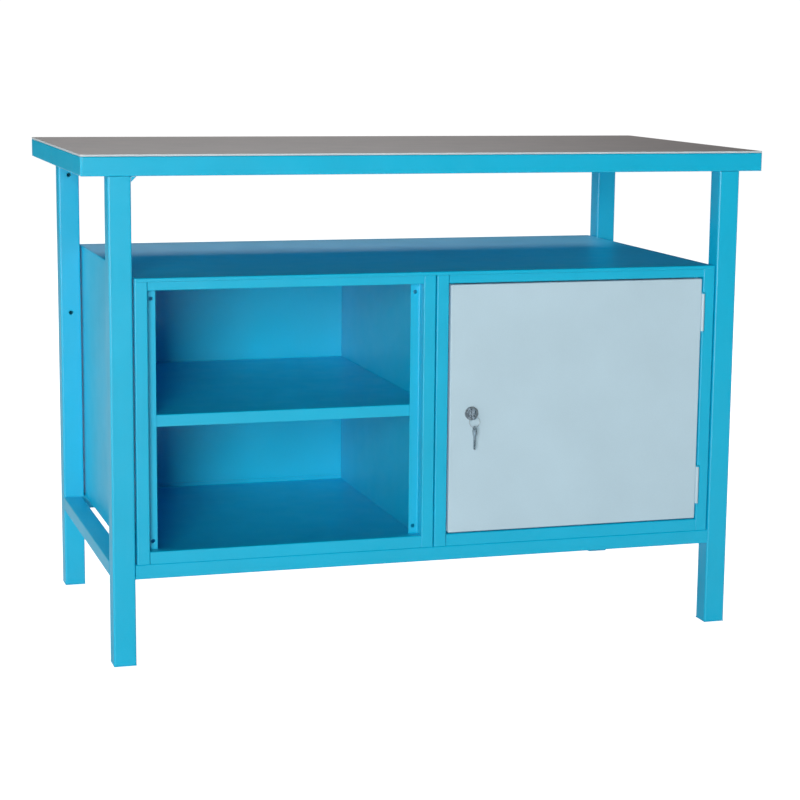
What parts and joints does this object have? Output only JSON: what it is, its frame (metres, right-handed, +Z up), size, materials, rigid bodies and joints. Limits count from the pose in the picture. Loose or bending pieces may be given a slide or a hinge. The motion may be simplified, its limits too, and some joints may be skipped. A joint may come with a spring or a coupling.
{
  "type": "workbench with cupboards",
  "caption": "Blue steel workbench: framed worktop on square tube legs over a low open cupboard with a shelf beside a lockable grey door.",
  "frame": {"origin": "on the floor, at the centre of the footprint with the keys in the lock; the worktop's middle is 14.25 mm behind it", "axes": "+X to the right along the worktop's length, -Y to the front where the door and the open compartment are, +Z up"},
  "size_m": [1.2, 0.6285, 0.85],
  "materials": {
    "worktop_board": "smooth brown-grey laminate",
    "core_board": "plain board",
    "blue_frame": "semi-gloss powder coat",
    "blue_sheet": "semi-gloss powder coat",
    "grey_door": "semi-gloss powder coat",
    "hinge_steel": "zinc plated",
    "lock_nickel": "nickel plated",
    "plated_steel": "zinc plated",
    "buffer_rubber": "matt"
  },
  "bodies": {
    "bench": {"worktop_sheet": "worktop_board", "worktop_core_board": "core_board", "worktop_front_frame": "blue_frame", "worktop_rear_frame": "blue_frame", "worktop_left_frame": "blue_frame", "worktop_right_frame": "blue_frame", "left_cross_member": "blue_frame", "centre_cross_member": "blue_frame", "right_cross_member": "blue_frame", "front_left_leg": "blue_frame", "front_right_leg": "blue_frame", "rear_left_leg": "blue_frame", "rear_right_leg": "blue_frame", "front_left_foot": "blue_frame", "front_right_foot": "blue_frame", "rear_left_foot": "blue_frame", "rear_right_foot": "blue_frame", "lower_front_rail": "blue_frame", "lower_rear_rail": "blue_frame", "lower_left_rail": "blue_frame", "lower_right_rail": "blue_frame", "front_left_gusset": "blue_frame", "cupboard_top_cover": "blue_sheet", "left_cupboard_left_side": "blue_sheet", "left_cupboard_right_side": "blue_sheet", "left_cupboard_header": "blue_sheet", "left_cupboard_sill": "blue_sheet", "left_cupboard_floor": "blue_sheet", "left_cupboard_back_panel": "blue_sheet", "left_cupboard_shelf": "blue_sheet", "left_cupboard_left_shelf_rail": "blue_sheet", "left_cupboard_right_shelf_rail": "blue_sheet", "right_cupboard_left_side": "blue_sheet", "right_cupboard_right_side": "blue_sheet", "right_cupboard_header": "blue_sheet", "right_cupboard_sill": "blue_sheet", "right_cupboard_floor": "blue_sheet", "right_cupboard_back_panel": "blue_sheet", "right_cupboard_shelf": "blue_sheet", "right_cupboard_left_shelf_rail": "blue_sheet", "right_cupboard_right_shelf_rail": "blue_sheet", "upper_hinge_bracket": "blue_sheet", "lower_hinge_bracket": "blue_sheet", "upper_hinge_pin": "hinge_steel", "lower_hinge_pin": "hinge_steel", "upper_door_buffer": "buffer_rubber", "lower_door_buffer": "buffer_rubber"},
    "door": {"door_panel": "grey_door", "upper_hinge_door_knuckle": "grey_door", "lower_hinge_door_knuckle": "grey_door", "lock_body": "lock_nickel", "lock_nut": "plated_steel"},
    "lock_plug": {"lock_plug": "lock_nickel", "lock_cam": "plated_steel", "cam_screw": "plated_steel"},
    "key": {"key": "lock_nickel"},
    "key_ring": {"key_ring": "plated_steel"},
    "spare_key": {"spare_key": "lock_nickel"}
  },
  "joints": [
    {"name": "door_hinge", "type": "hinge", "parent": "bench", "child": "door", "pos_m": [0.495, -0.28375, 0.41125], "axis": [0, 0, 1], "range_deg": [0, 105]},
    {"name": "lock_turn", "type": "hinge", "parent": "door", "child": "lock_plug", "pos_m": [0.065, -0.28575, 0.40435], "axis": [0, 1, 0], "range_deg": [0, 90]},
    {"name": "key_slide", "type": "slide", "parent": "lock_plug", "child": "key", "axis": [0, -1, 0], "range_m": [0, 0.024]},
    {"name": "key_ring_turn", "type": "hinge", "parent": "key", "child": "key_ring", "pos_m": [0.0622, -0.30475, 0.39435], "axis": [0, 1, 0], "range_deg": [-90, 0]},
    {"name": "spare_key_swing", "type": "hinge", "parent": "key_ring", "child": "spare_key", "pos_m": [0.065, -0.30475, 0.38275], "axis": [1, 0, 0], "range_deg": [-30, 18]}
  ],
  "couplings": [
    {"joint": "key_ring_turn", "follows": "lock_turn", "ratio": -1}
  ]
}
